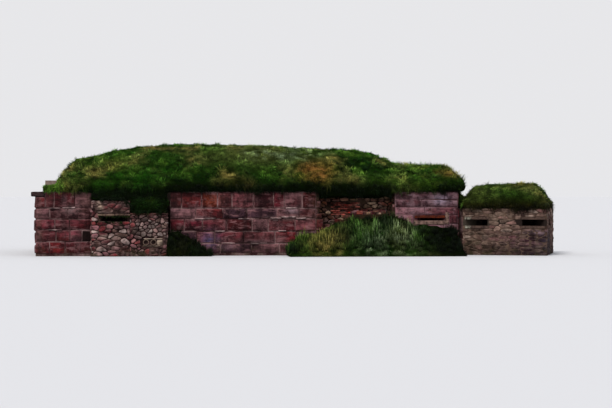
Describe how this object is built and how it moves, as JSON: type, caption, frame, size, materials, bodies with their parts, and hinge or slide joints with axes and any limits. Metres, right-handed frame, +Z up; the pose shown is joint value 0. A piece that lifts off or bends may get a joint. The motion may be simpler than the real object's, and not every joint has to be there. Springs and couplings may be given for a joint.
{
  "type": "turf-roofed coastal bunker with a linked pillbox",
  "caption": "Long low stone coastal bunker under a grassed earth mound, with narrow embrasures, a collapsed bay and a small turned pillbox linked to its east end.",
  "frame": {"origin": "on the ground, at the middle of the main casemate's plan between its front, rear and end wall faces", "axes": "+X east along the front wall towards the pillbox, -Y out of the embrasured front, +Z up"},
  "size_m": [24.0901, 10.42, 5.0913],
  "materials": {
    "wall_stone": "weathered dark reddish-brown coursed stone with worn joints",
    "casemate_stone": "weathered mauve-brown render over coursed stone, stained pale",
    "pillbox_stone": "weathered tan rubble stone, partly rendered",
    "rubble": "loose rubble stone and cobbles set in lime mortar",
    "brick": "broken red brick backing, rough and damp",
    "concrete": "old board-marked concrete, stained and lichened",
    "rusty_steel": "heavily rusted steel joist",
    "turf": "rough grass turf over earth"
  },
  "bodies": {
    "root": {"main_floor": "concrete", "front_wall_west": "wall_stone", "rubble_sill": "rubble", "rubble_piers": "rubble", "rubble_head": "rubble", "rubble_bay_beam": "concrete", "slot_back": "wall_stone", "front_wall_centre": "wall_stone", "broken_stubs": "wall_stone", "broken_core": "brick", "east_casemate_sill": "casemate_stone", "east_casemate_piers": "casemate_stone", "east_casemate_head": "casemate_stone", "east_casemate_dressings": "concrete", "east_casemate_beam": "rusty_steel", "end_walls": "wall_stone", "rear_wall_sides": "wall_stone", "rear_wall_over_door": "wall_stone", "rear_door_lintel": "concrete", "roof_slab": "concrete", "corner_stone": "wall_stone", "mound_edge": "turf", "turf_mound": "turf", "turf_slump_west": "turf", "turf_slump_east": "turf", "turf_brow": "turf", "collapsed_bank": "turf", "bay_fill": "rubble", "corner_bank": "turf", "link_walls": "wall_stone", "link_turf": "turf", "pillbox_floor": "concrete", "pillbox_front_sill": "pillbox_stone", "pillbox_front_piers": "pillbox_stone", "pillbox_front_head": "pillbox_stone", "pillbox_east_sill": "pillbox_stone", "pillbox_east_piers": "pillbox_stone", "pillbox_east_head": "pillbox_stone", "pillbox_west_wall": "pillbox_stone", "pillbox_rear_walls": "pillbox_stone", "pillbox_rear_lintel": "concrete", "pillbox_roof_slab": "concrete", "pillbox_turf_edge": "turf", "pillbox_turf": "turf", "pillbox_dressings": "concrete"}
  },
  "joints": []
}
